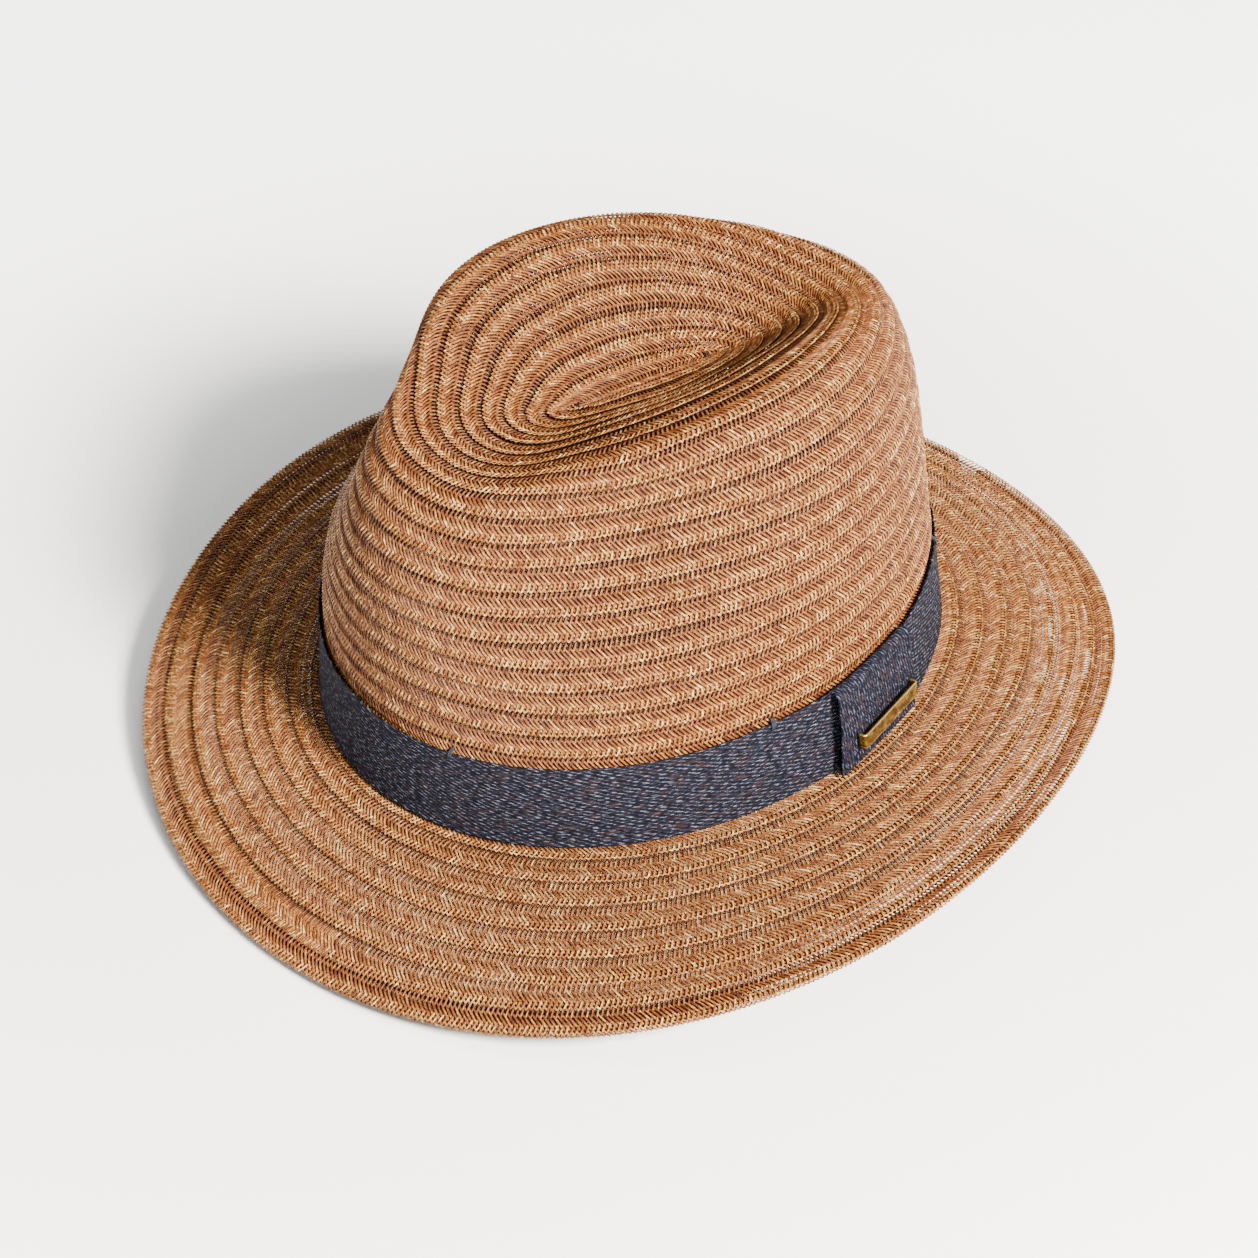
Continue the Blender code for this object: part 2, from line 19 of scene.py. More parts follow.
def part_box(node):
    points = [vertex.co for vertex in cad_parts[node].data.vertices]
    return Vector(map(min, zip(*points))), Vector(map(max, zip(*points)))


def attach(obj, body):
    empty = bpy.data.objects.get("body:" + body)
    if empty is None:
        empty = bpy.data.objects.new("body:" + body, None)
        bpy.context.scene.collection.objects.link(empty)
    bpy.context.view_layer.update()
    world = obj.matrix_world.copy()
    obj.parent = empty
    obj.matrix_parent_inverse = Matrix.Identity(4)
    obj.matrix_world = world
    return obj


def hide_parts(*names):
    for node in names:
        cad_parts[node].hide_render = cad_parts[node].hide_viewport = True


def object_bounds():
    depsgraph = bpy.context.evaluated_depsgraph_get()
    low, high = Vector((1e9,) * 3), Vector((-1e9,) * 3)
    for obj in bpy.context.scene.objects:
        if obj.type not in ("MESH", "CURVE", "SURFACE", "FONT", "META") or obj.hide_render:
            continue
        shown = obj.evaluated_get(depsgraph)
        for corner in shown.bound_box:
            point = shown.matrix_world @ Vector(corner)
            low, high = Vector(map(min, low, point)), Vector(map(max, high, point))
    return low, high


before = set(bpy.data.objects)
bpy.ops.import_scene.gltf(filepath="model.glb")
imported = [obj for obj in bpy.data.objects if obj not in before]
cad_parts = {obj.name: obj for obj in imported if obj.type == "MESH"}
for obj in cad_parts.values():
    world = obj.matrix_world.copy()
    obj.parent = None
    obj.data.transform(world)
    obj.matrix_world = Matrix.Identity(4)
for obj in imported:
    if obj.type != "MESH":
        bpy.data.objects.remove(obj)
cad_low, cad_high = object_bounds()

MM = 0.001
TURN = 2 * math.pi

# --- the hat body's sheet ---------------------------------------------------------------
AZIMUTHS = 256            # meridians sampled round the hat
SHEET_STEP = 0.5 * MM     # spacing of the sheet's rows
MERIDIAN_POINTS = 400     # along each meridian, from the break to the tip
PIVOT_DROP = 14 * MM      # the shoulder is sampled by rays to a point this far below the crest
PIVOT_INSET = 6 * MM      # and this far inside it
TIP_OVERRUN = 2.0 * MM    # meridians run on past the tip's middle, so that both sides meet
HARMONICS = 18            # waves round the hat that are kept when the facets are smoothed
FACET_SMOOTHING = 2.6 * MM

# --- braid ------------------------------------------------------------------------------
STRANDS = 9
PLAIT_WIDTH = 11.0 * MM   # full width of the flat plait; 7.2 mm of it shows in each row
CHEVRON_PITCH = 1.45 * MM
PERIOD = STRANDS * CHEVRON_PITCH
STRAND_WIDTH = 0.82 * MM
CROWN_STRAND_WIDTH = 0.92 * MM
STRAND_THICKNESS = 0.44 * MM
STRAND_SIDES = 4
COLUMNS = 4               # over and under again, this often in a period
WEAVE_RISE = 0.33 * MM
SKEW = -0.34              # the machine drags the proud edge along while it sews
ROW_PITCH = 7.2 * MM
BRIM_PITCH = 7.62 * MM
NEAR_SEAM = 32.3 * MM     # a crown seam passes here at NEAR_ANGLE, measured up from the break
NEAR_BRIM_SEAM = 5.5 * MM
NEAR_ANGLE = math.radians(-42)
PROUD_EDGE = 0.40 * MM    # middle of the plait above the body's skin at a row's outer edge
SHINGLE = 0.150           # how fast the plait dips under the row before it
BRIM_START = -9.6 * MM    # the spiral on the brim starts behind the ribbon
CROWN_ROWS_END = 9 * MM   # the crown's braid carries on behind the ribbon to here
EDGE_ROW = 7.0 * MM       # the brim's spiral stops this far short of the hat's edge
SPIRAL_STEPS = 720        # points in each turn of a spiral
STRAND_MAP = 0.9          # share of a strand's lane in its map that goes round it
STRAND_RUN = 1.9          # a strand's length over the length of its period
SWING_SHARE = 0.46        # how far a strand swings, in plait widths
SWING_TURN = 0.985        # under 1, it rounds the strand's turns at the plait's edges
DENSE_BAND = 2.6 * MM     # the lower part of a row is backed by the next row

# --- ribbon, tape and metal -------------------------------------------------------------
RIBBON_THICKNESS = 0.45 * MM
RIBBON_EASE = 0.15 * MM   # the plait's bumps hold the ribbon off a little
RIBBON_STEPS = 680
CLOTH_STEP = 0.43 * MM
TWILL_SPACING = 1.2 * MM
TWILL_ANGLE = math.radians(20)
TWILL_RELIEF = 0.05 * MM
KEEPER_PLY = 0.6 * MM
TAPE_PLY = 0.9 * MM
LABEL_PLY = 0.3 * MM
THREAD_RADIUS = 0.28 * MM
TACK_SPREAD = 0.0042      # angle between the turns of thread in a tack
HAT_RADIUS = 90 * MM      # turns an angle round the hat into a length
OUTLINE_POINTS = 150      # points round the keeper's loop
REED_SLOTS = 48           # places round the hat where the reed is read off


def smooth_step(t):
    t = np.clip(t, 0, 1)
    return t * t * (3 - 2 * t)


# --- reading the solids -----------------------------------------------------------------
def skin_of(*names):
    """A ray-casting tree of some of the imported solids."""
    verts = []
    faces = []
    for name in names:
        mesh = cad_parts[name].data
        start = len(verts)
        verts += [v.co.copy() for v in mesh.vertices]
        faces += [[start + i for i in p.vertices] for p in mesh.polygons]
    return BVHTree.FromPolygons(verts, faces)


def odd_smooth(line, step, width):
    """Gaussian smoothing along axis 1 of evenly spaced lines; straight ends stay straight."""
    reach = max(2, int(3 * width / step))
    offsets = np.arange(-reach, reach + 1)
    kernel = np.exp(-0.5 * (offsets * step / width) ** 2)
    kernel /= kernel.sum()
    before = 2 * line[:, :1] - line[:, reach:0:-1]
    after = 2 * line[:, -1:] - line[:, -2:-reach - 2:-1]
    padded = np.concatenate([before, line, after], axis=1)
    return sum(k * padded[:, i:i + line.shape[1]] for i, k in enumerate(kernel))


def low_pass(values, harmonics=HARMONICS):
    """Keeps the broad waves round the hat."""
    waves = np.fft.rfft(values, axis=0)
    fade = np.clip((harmonics + 6 - np.arange(len(waves))) / 6, 0, 1)
    return np.fft.irfft(waves * fade.reshape(-1, *[1] * (values.ndim - 1)), len(values), axis=0)


def resample(points, step_count):
    """A line of points, evenly spaced, and its length."""
    steps = np.linalg.norm(np.diff(points, axis=0), axis=1)
    along = np.concatenate([[0], np.cumsum(steps)])
    wanted = np.linspace(0, along[-1], step_count)
    return np.stack([np.interp(wanted, along, points[:, k]) for k in range(points.shape[1])], 1), along[-1]


def without_spikes(points):
    """A ray that slips through the gap between two solids lands far away; it is dropped."""
    spread = np.stack([np.roll(points, k, axis=0) for k in (-2, -1, 0, 1, 2)])
    middle = np.median(spread, axis=0)
    off = np.linalg.norm(points - middle, axis=1)
    off[:3] = 0
    off[-3:] = 0
    return points[off < 1.5 * MM]


def hat_sheet():
    """Samples the outer skin: positions by (angle, row), rows from the brim's edge to the tip."""
    crown = skin_of("crown_wall", "crown_tip")
    brim = skin_of("brim")
    edge = skin_of("brim_edge")
    tip_low, tip_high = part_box("crown_tip")
    tip_y = (tip_low.y + tip_high.y) / 2
    half = ((tip_high.y - tip_low.y) - (tip_high.x - tip_low.x)) / 2
    far = cad_high.z + 0.1
    down = Vector((0, 0, -1))
    angles = np.arange(AZIMUTHS) * TURN / AZIMUTHS
    meridians = []
    for a in angles:
        centre = Vector((0, tip_y + half * math.sin(a), 0))
        out = Vector((math.cos(a), math.sin(a), 0))

        def top(rho):
            hit = crown.ray_cast(centre + out * rho + Vector((0, 0, far)), down)[0]
            return hit.z if hit else -1.0

        def side(z):
            hit = crown.ray_cast(centre + out * 0.3 + Vector((0, 0, z)), -out)[0]
            return (hit - centre).dot(out) if hit else None

        wall = side(8 * MM)
        ground = brim.ray_cast(centre + out * (wall + 1.5 * MM) + Vector((0, 0, far)), down)[0].z
        foot = side(ground + 1.2 * MM)
        rhos = np.arange(25 * MM, wall, 0.5 * MM)
        heights = np.array([top(r) for r in rhos])
        crest = rhos[heights.argmax()]
        pivot_z = heights.max() - PIVOT_DROP
        pivot = min(side(pivot_z), crest) - PIVOT_INSET
        line = [(foot, ground)]
        line += [(side(z), z) for z in np.arange(ground + 1.2 * MM, pivot_z, 1.0 * MM)]
        hub = centre + out * pivot + Vector((0, 0, pivot_z))
        for turn in np.linspace(0, math.pi / 2, 40):
            ray = out * math.cos(turn) + Vector((0, 0, math.sin(turn)))
            hit = crown.ray_cast(hub + ray * 0.08, -ray)[0]
            line.append(((hit - centre).dot(out), hit.z))
        line += [(r, top(r)) for r in np.arange(pivot, -TIP_OVERRUN, -1.0 * MM)]
        profile = without_spikes(np.array(line))
        origin = np.array([centre.x, centre.y, 0])
        outward = np.array(out)
        points = origin + profile[:, :1] * outward + profile[:, 1:] * np.array([0, 0, 1.0])
        meridians.append(resample(points, MERIDIAN_POINTS))
    lengths = low_pass(np.array([m[1] for m in meridians]))
    crown_lines = np.array([m[0] for m in meridians])
    crown_lines = odd_smooth(crown_lines, lengths.mean() / (MERIDIAN_POINTS - 1), FACET_SMOOTHING)
    crown_lines = low_pass(crown_lines)
    feet = crown_lines[:, 0]

    plan = feet[:, :2]
    along = np.roll(plan, -1, axis=0) - np.roll(plan, 1, axis=0)
    along /= np.linalg.norm(along, axis=1)[:, None]
    normals = np.stack([along[:, 1], -along[:, 0]], 1)
    widths = []
    brim_lines = []
    for foot, normal in zip(feet, normals):
        def level(tree, reach):
            x, y = foot[:2] + normal * reach
            hit = tree.ray_cast(Vector((x, y, far)), down)[0]
            return hit.z if hit else None

        reach = 0.1
        while level(edge, reach) is None:
            reach -= 0.25 * MM
        widths.append(reach)
        outs = np.arange(2 * MM, reach - 8.5 * MM, 1.0 * MM)
        zs = [level(brim, r) for r in outs]
        curve = np.polynomial.Polynomial.fit(outs, zs, 3)
        brim_lines.append(curve)
    widths = low_pass(np.array(widths))
    width = widths.mean()
    count = int(round(width / SHEET_STEP))
    outs = np.arange(count, 0, -1) / count
    brim_grid = np.zeros((AZIMUTHS, count, 3))
    for i in range(AZIMUTHS):
        reach = outs * widths[i]
        brim_grid[i, :, :2] = feet[i, :2] + normals[i] * reach[:, None]
        brim_grid[i, :, 2] = brim_lines[i](reach)
    brim_grid = low_pass(brim_grid)

    # rows climb the wall evenly, and the tip's rows share out what is left
    total = lengths.mean()
    rows = np.arange(0, total, SHEET_STEP)
    even = 0.5 * total
    crown_grid = np.zeros((AZIMUTHS, len(rows), 3))
    for i in range(AZIMUTHS):
        s = rows + (lengths[i] - total) * smooth_step((rows - even) / (total - even))
        known = np.linspace(0, lengths[i], MERIDIAN_POINTS)
        for k in range(3):
            crown_grid[i, :, k] = np.interp(s, known, crown_lines[i, :, k])
    grid = np.concatenate([brim_grid, crown_grid], axis=1)
    grid = odd_smooth(grid, SHEET_STEP, 0.8 * MM)
    round_hat = np.roll(grid, -1, axis=0) - np.roll(grid, 1, axis=0)
    up = np.gradient(grid, axis=1)
    normal = np.cross(round_hat, up)
    normal /= np.linalg.norm(normal, axis=2)[:, :, None]
    return grid, normal, -width, total


SHEET, SHEET_NORMAL, SHEET_LOW, SHEET_HIGH = hat_sheet()


def on_sheet(angle, row):
    """Position and normal of the hat's skin; row is the distance up from the break, or minus
    the distance out over the brim."""
    i = np.mod(angle, TURN) / TURN * AZIMUTHS
    i0 = np.floor(i).astype(int)
    fi = (i - i0)[:, None]
    i0 %= AZIMUTHS
    i1 = (i0 + 1) % AZIMUTHS
    j = (np.asarray(row) - SHEET_LOW) / (SHEET_HIGH - SHEET_LOW) * (SHEET.shape[1] - 1)
    j = np.clip(j, 0, SHEET.shape[1] - 1.001)
    j0 = np.floor(j).astype(int)
    fj = (j - j0)[:, None]
    found = []
    for field in (SHEET, SHEET_NORMAL):
        low = field[i0, j0] * (1 - fi) + field[i1, j0] * fi
        high = field[i0, j0 + 1] * (1 - fi) + field[i1, j0 + 1] * fi
        found.append(low * (1 - fj) + high * fj)
    return found[0], found[1] / np.linalg.norm(found[1], axis=1)[:, None]


# --- materials --------------------------------------------------------------------------
MULTIPLY_ADD = {"operation": "MULTIPLY_ADD"}
SMOOTH = {"interpolation_type": "SMOOTHSTEP"}


def srgb(text):
    """An sRGB hex colour as linear RGBA."""
    values = [int(text[k:k + 2], 16) / 255 for k in (0, 2, 4)]
    return (*[v / 12.92 if v <= 0.04045 else ((v + 0.055) / 1.055) ** 2.4 for v in values], 1.0)


def plug(tree, node, **inputs):
    """Sets a node's inputs, by name or _index, to numbers, colours, sockets or a node's first output."""
    for key, value in inputs.items():
        socket = node.inputs[int(key[1:])] if key[0] == "_" else node.inputs[key.replace("_", " ")]
        if isinstance(value, bpy.types.Node):
            value = value.outputs[0]
        if isinstance(value, bpy.types.NodeSocket):
            tree.links.new(value, socket)
        else:
            socket.default_value = value


def add_node(tree, kind, settings=None, **inputs):
    """Adds a shader node with its settings and inputs."""
    node = tree.nodes.new("ShaderNode" + kind)
    for key, value in (settings or {}).items():
        setattr(node, key, value)
    plug(tree, node, **inputs)
    return node


def new_material(name, **shader):
    material = bpy.data.materials.new(name)
    material.use_nodes = True
    tree = material.node_tree
    surface = tree.nodes["Principled BSDF"]
    plug(tree, surface, **shader)
    return material, tree, surface


def ramp(tree, factor, *stops):
    node = add_node(tree, "ValToRGB", Fac=factor)
    elements = node.color_ramp.elements
    while len(elements) > 1:
        elements.remove(elements[-1])
    elements[0].position = stops[0][0]
    elements[0].color = srgb(stops[0][1])
    for place, colour in stops[1:]:
        elements.new(place).color = srgb(colour)
    return node.outputs["Color"]


def hemp_braid():
    """Hemp straw: flat bundles of split fibre, each bundle its own tone, with a dull satin face."""
    material, tree, surface = new_material("Natural hemp straw, plaited", Roughness=0.55,
                                           Specular_IOR_Level=0.2)
    strand = add_node(tree, "UVMap", {"uv_map": "Strand"}).outputs["UV"]
    # bundles change tone every few millimetres along a strand
    bundle = add_node(tree, "Mapping", Vector=strand, Scale=(190.0, 2.3, 1.0))
    tone = add_node(tree, "TexNoise", Vector=bundle, Scale=1.0, Detail=3.0, Roughness=0.65)
    # fibres are about 0.08 mm wide and run along the strand
    fibre = add_node(tree, "Mapping", Vector=strand, Scale=(900.0, 31.0, 1.0))
    streak = add_node(tree, "TexNoise", Vector=fibre, Scale=1.0, Detail=2.0)
    both = add_node(tree, "Math", MULTIPLY_ADD, _0=streak, _1=0.35, _2=tone)
    # split fibres break the plait up into short flecks
    place = add_node(tree, "TexCoord").outputs["Object"]
    fleck = add_node(tree, "TexNoise", Vector=place, Scale=1500.0, Detail=1.0)
    both = add_node(tree, "Math", MULTIPLY_ADD, _0=fleck, _1=0.36, _2=both)
    weave = add_node(tree, "Attribute", {"attribute_name": "weave"}).outputs["Vector"]
    height, open_band, under = add_node(tree, "SeparateXYZ", Vector=weave).outputs
    # painted light: the backed part of a row is painted lighter and more even, its painted shade weaker,
    # for the light its double layer catches
    lighter = add_node(tree, "Math", MULTIPLY_ADD, _0=open_band, _1=-0.07, _2=both)
    lighter = add_node(tree, "Math", {"operation": "SUBTRACT"}, _0=lighter, _1=0.18)
    colour = ramp(tree, lighter, (0.42, "30140A"), (0.52, "4E250B"), (0.60, "623513"), (0.68, "75461E"),
                  (0.77, "936A39"), (0.88, "C6AE7C"))
    # painted shade: the straw is painted darker and redder at a bundle's edges, where it dives, and under
    # the row above, for the shade that falls there
    across = add_node(tree, "SeparateXYZ", Vector=strand).outputs["Y"]
    lane = add_node(tree, "Math", {"operation": "FRACT"}, _0=across)
    from_top = add_node(tree, "Math", {"operation": "SUBTRACT"}, _0=lane, _1=STRAND_MAP / 4)
    side = add_node(tree, "Math", {"operation": "ABSOLUTE"}, _0=from_top)
    rim = add_node(tree, "MapRange", SMOOTH, Value=side, From_Min=0.08, From_Max=0.24, To_Min=0.0,
                   To_Max=0.75)
    dive_shade = add_node(tree, "MapRange", SMOOTH, Value=height, From_Min=0.4, From_Max=-0.6, To_Min=0.0,
                    To_Max=0.65)
    shade = add_node(tree, "Math", {"operation": "ADD"}, _0=rim, _1=dive_shade)
    # the painted shade is weaker on the backed part of a row
    gate = add_node(tree, "MapRange", Value=open_band, To_Min=0.22, To_Max=1.0)
    gated = add_node(tree, "Math", {"operation": "MULTIPLY"}, _0=shade, _1=gate)
    # the painted shade under the row above is added, and the colour is mixed towards the dark brown of the
    # painted shade
    deep = add_node(tree, "Math", {"operation": "MULTIPLY_ADD", "use_clamp": True}, _0=under, _1=0.8,
                    _2=gated)
    shaded = add_node(tree, "Mix", {"data_type": "RGBA"}, _0=deep, _6=colour, _7=srgb("210D04"))
    bump = add_node(tree, "Bump", Height=streak, Strength=0.35, Distance=0.08 * MM)
    plug(tree, surface, Base_Color=shaded.outputs[2], Normal=bump)
    return material


def twill_ribbon(name, slant, pale):
    """Denim-like twill: a navy ground, pale slubs and rust threads between the twill lines."""
    material, tree, surface = new_material(name, Roughness=0.85, Specular_IOR_Level=0.06)
    cloth = add_node(tree, "UVMap", {"uv_map": "Cloth"}).outputs["UV"]
    turned = add_node(tree, "Mapping", {"vector_type": "POINT"}, Vector=cloth, Rotation=(0, 0, slant))
    # slubs are about 2 mm long and 0.4 mm thick
    long = add_node(tree, "Mapping", Vector=turned, Scale=(420.0, 2300.0, 1.0))
    slub = add_node(tree, "TexNoise", Vector=long, Scale=1.0, Detail=2.0, Roughness=0.6)
    fine = add_node(tree, "Mapping", Vector=turned, Scale=(900.0, 5200.0, 1.0))
    thread = add_node(tree, "TexNoise", Vector=fine, Scale=1.0, Detail=1.0)
    both = add_node(tree, "Math", MULTIPLY_ADD, _0=thread, _1=0.35, _2=slub)
    # twill lines cross the ribbon at a low slope
    sloped = add_node(tree, "Mapping", Vector=cloth, Rotation=(0, 0, TWILL_ANGLE + slant))
    line = add_node(tree, "TexWave", {"wave_type": "BANDS", "bands_direction": "Y"}, Vector=sloped,
                    Scale=TURN / (20 * TWILL_SPACING), Distortion=0.6, Detail=1.0, Detail_Scale=300.0)
    lined = add_node(tree, "Math", MULTIPLY_ADD, _0=line.outputs["Fac"], _1=0.16, _2=both)
    ground = ramp(tree, lined, (0.64, "06060A"), (0.76, "0F0F17"), (0.86, "1E1F2A"), (0.98, pale))
    # rust threads show here and there between the blue ones
    patch = add_node(tree, "TexNoise", Vector=long, Scale=0.37, Detail=1.0)
    rust = add_node(tree, "MapRange", Value=patch, From_Min=0.56, From_Max=0.66, To_Min=0.0, To_Max=0.45)
    colour = add_node(tree, "Mix", {"data_type": "RGBA"}, _0=rust, _6=ground, _7=srgb("2D1C16"))
    bump = add_node(tree, "Bump", Height=lined, Strength=0.6, Distance=0.18 * MM)
    plug(tree, surface, Base_Color=colour.outputs[2], Normal=bump)
    return material


def antique_brass():
    """Antiqued brass, brushed along its length: dark in the field, lighter towards the rim."""
    material, tree, surface = new_material("Antiqued brushed brass", Metallic=1.0, Roughness=0.36)
    plate = add_node(tree, "UVMap", {"uv_map": "Cloth"}).outputs["UV"]
    brushed = add_node(tree, "Mapping", Vector=plate, Scale=(180.0, 6000.0, 1.0))
    scratch = add_node(tree, "TexNoise", Vector=brushed, Scale=1.0, Detail=3.0)
    worn = add_node(tree, "TexNoise", Vector=plate, Scale=420.0, Detail=3.0)
    blend = add_node(tree, "Math", MULTIPLY_ADD, _0=scratch, _1=0.5, _2=worn)
    # the colour is lighter towards the rim
    toward_rim = add_node(tree, "Attribute", {"attribute_name": "rim"}).outputs["Fac"]
    total = add_node(tree, "Math", MULTIPLY_ADD, _0=toward_rim, _1=0.5, _2=blend)
    colour = ramp(tree, total, (0.45, "3A2C12"), (0.75, "7D6128"), (1.05, "C9A75E"))
    rough = add_node(tree, "MapRange", Value=scratch, To_Min=0.28, To_Max=0.5)
    bump = add_node(tree, "Bump", Height=scratch, Strength=0.25, Distance=0.04 * MM)
    plug(tree, surface, Base_Color=colour, Roughness=rough, Normal=bump)
    return material


def woven_tape(name, dark, light, scale, roughness):
    """Plain woven tape or satin: fine threads along it, crossed by finer ones."""
    material, tree, surface = new_material(name, Roughness=roughness, Specular_IOR_Level=0.3)
    cloth = add_node(tree, "UVMap", {"uv_map": "Cloth"}).outputs["UV"]
    stretched = add_node(tree, "Mapping", Vector=cloth, Scale=(scale, scale * 3.5, 1.0))
    thread = add_node(tree, "TexNoise", Vector=stretched, Scale=1.0, Detail=2.0)
    rib = add_node(tree, "TexWave", {"wave_type": "BANDS", "bands_direction": "DIAGONAL"}, Vector=cloth,
                   Scale=240.0, Distortion=0.4)
    both = add_node(tree, "Math", MULTIPLY_ADD, _0=rib.outputs["Fac"], _1=0.3, _2=thread)
    colour = ramp(tree, both, (0.4, dark), (0.9, light))
    bump = add_node(tree, "Bump", Height=both, Strength=0.4, Distance=0.1 * MM)
    plug(tree, surface, Base_Color=colour, Normal=bump)
    return material


# --- mesh helpers -----------------------------------------------------------------------
def add_piece(name, mesh, material):
    piece = bpy.data.objects.new(name, mesh)
    bpy.context.scene.collection.objects.link(piece)
    mesh.materials.clear()
    mesh.materials.append(material)
    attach(piece, "root")
    return piece


def vertex_array(mesh):
    co = np.zeros(len(mesh.vertices) * 3)
    mesh.vertices.foreach_get("co", co)
    return co.reshape(-1, 3)


def set_vertices(mesh, co):
    mesh.vertices.foreach_set("co", np.asarray(co, np.float32).ravel())
    mesh.update()


def uv_layer(mesh, name, values):
    layer = mesh.uv_layers.get(name) or mesh.uv_layers.new(name=name)
    layer.data.foreach_set("uv", np.asarray(values, np.float32).ravel())


# --- braid ------------------------------------------------------------------------------
SEGMENTS = COLUMNS * 4    # rings along a strand's period


def strand_path(t):
    """Middle of a strand at share t of its period: along, across and height."""
    swing = math.asin(SWING_TURN * math.sin(TURN * (t - 0.25))) / math.asin(SWING_TURN)
    across = PLAIT_WIDTH * (0.5 + SWING_SHARE * swing)
    height = WEAVE_RISE * math.sin(TURN * COLUMNS * t)
    return PERIOD * t + SKEW * across, across, height


def plait_unit(strand_width):
    """One period of the plait, straight along +X, its proud edge at y = 0."""
    whole = bmesh.new()
    uv = whole.loops.layers.uv.new("Strand")
    for strand in range(STRANDS):
        ring = bmesh.ops.create_circle(whole, segments=STRAND_SIDES, radius=0.5,
                                       matrix=Matrix.Rotation(math.pi / 2, 4, "Y"))["verts"]
        edges = list({e for v in ring for e in v.link_edges})
        members = list(ring)
        for _ in range(SEGMENTS):
            grown = bmesh.ops.extrude_edge_only(whole, edges=edges)["geom"]
            moved = [g for g in grown if isinstance(g, bmesh.types.BMVert)]
            edges = [g for g in grown if isinstance(g, bmesh.types.BMEdge)
                     and all(v in moved for v in g.verts)]
            bmesh.ops.translate(whole, verts=moved, vec=(1 / SEGMENTS, 0, 0))
            members += moved
        for face in {f for v in members for f in v.link_faces}:
            middle = face.calc_center_median()
            side = math.floor((math.atan2(middle.z, middle.y) / TURN % 1) * STRAND_SIDES)
            for loop in face.loops:
                turn = math.atan2(loop.vert.co.z, loop.vert.co.y) / TURN % 1 * STRAND_SIDES
                turn += STRAND_SIDES if turn < side - 0.01 else 0
                loop[uv].uv = (loop.vert.co.x, strand + min(turn, side + 1) / STRAND_SIDES * STRAND_MAP)
        for vert in members:
            t, wide, deep = vert.co
            x, y, z = strand_path(t)
            ahead, behind = strand_path(t + 0.01), strand_path(t - 0.01)
            heading = math.atan2(ahead[1] - behind[1], ahead[0] - behind[0])
            wide *= strand_width
            x += PERIOD * strand / STRANDS - math.sin(heading) * wide
            vert.co = (x, y + math.cos(heading) * wide, z + deep * STRAND_THICKNESS)
    mesh = bpy.data.meshes.new("plait_unit")
    whole.to_mesh(mesh)
    whole.free()
    return mesh


CROWN_UNIT = plait_unit(CROWN_STRAND_WIDTH)
BRIM_UNIT = plait_unit(STRAND_WIDTH)
HEMP = hemp_braid()


def long_plait(unit, periods):
    """The unit repeated end to end by an Array modifier, its meeting rings welded."""
    source = bpy.data.objects.new("plait", unit)
    bpy.context.scene.collection.objects.link(source)
    array = source.modifiers.new("periods", "ARRAY")
    array.count = periods
    array.use_relative_offset = False
    array.use_constant_offset = True
    array.constant_offset_displace = (PERIOD, 0, 0)
    array.use_merge_vertices = True
    array.merge_threshold = 0.00001
    graph = bpy.context.evaluated_depsgraph_get()
    mesh = bpy.data.meshes.new_from_object(source.evaluated_get(graph))
    bpy.data.objects.remove(source)
    return mesh


def slow_noise(count, spread, amount, seed):
    """Smooth random values along a line, for hand-made unevenness."""
    draw = np.random.default_rng(seed).normal(size=count)
    kernel = np.exp(-0.5 * (np.arange(-3 * spread, 3 * spread + 1) / spread) ** 2)
    line = np.convolve(draw, kernel / np.sqrt((kernel ** 2).sum()), mode="same")
    return amount * line


def lay_braid(name, unit, turns, edge_row, squeeze, lift, nodes, pieces, pitch=ROW_PITCH, mirror=False,
              shingle=SHINGLE, depth=1.0, covered=None):
    """Lays the plait along rows. turns is the running angle at fine steps, edge_row the row of
    the proud edge there, squeeze the plait's width share and lift its height off the skin.
    covered is 1 where a row lies over the plait's inner part, which is painted in its shade, and depth how
    strong the painted shade on the open part of a row is."""
    middle = edge_row + squeeze * PLAIT_WIDTH * 0.35
    line, _ = on_sheet(turns, middle)
    steps = np.linalg.norm(np.diff(line, axis=0), axis=1)
    length = np.concatenate([[0], np.cumsum(steps)])
    periods = int(round(length[-1] / PERIOD))
    stretch = length[-1] / (periods * PERIOD)
    waver = slow_noise(len(turns), 25, 0.16 * MM, len(name) + 5)
    puff = slow_noise(len(turns), 12, 0.07 * MM, len(name) + 9)
    bounds = np.linspace(0, periods, pieces + 1).round().astype(int)
    for number, (start, stop) in enumerate(zip(bounds, bounds[1:])):
        mesh = long_plait(unit, int(stop - start))
        co = vertex_array(mesh)
        along = (co[:, 0] + start * PERIOD) * stretch
        turn = np.interp(along, length, turns)
        across = np.clip(co[:, 1], 0, PLAIT_WIDTH)
        row = np.interp(along, length, edge_row + waver) + across * np.interp(along, length, squeeze)
        rise = PROUD_EDGE - shingle * across + np.interp(along, length, lift + puff)
        place, normal = on_sheet(turn, row)
        height = rise + (-co[:, 2] - 2 * STRAND_THICKNESS if mirror else co[:, 2])
        # mask for the painted shade where the row above lies over the plait
        under = smooth_step((across - pitch + 0.45 * MM) / (0.4 * MM))
        if covered is not None:
            under *= np.interp(along, length, covered)
        # the weave attribute carries the strand's height, for the painted shade where it dives, the open
        # part's share of painted light and shade, and the painted shade under the row above
        weave = np.stack([co[:, 2] / (WEAVE_RISE + STRAND_THICKNESS / 2),
                          depth * smooth_step((across - DENSE_BAND) / (1.4 * MM)), under], 1)
        mark = mesh.attributes.new("weave", "FLOAT_VECTOR", "POINT")
        mark.data.foreach_set("vector", weave.astype(np.float32).ravel())
        set_vertices(mesh, place + normal * height[:, None])
        if mirror:
            mesh.flip_normals()
        finish_braid_uv(mesh, int(stop - start), start)
        mesh.polygons.foreach_set("use_smooth", [True] * len(mesh.polygons))
        piece = add_piece(f"{name}_{number + 1:02d}", mesh, HEMP)
        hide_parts(*nodes)


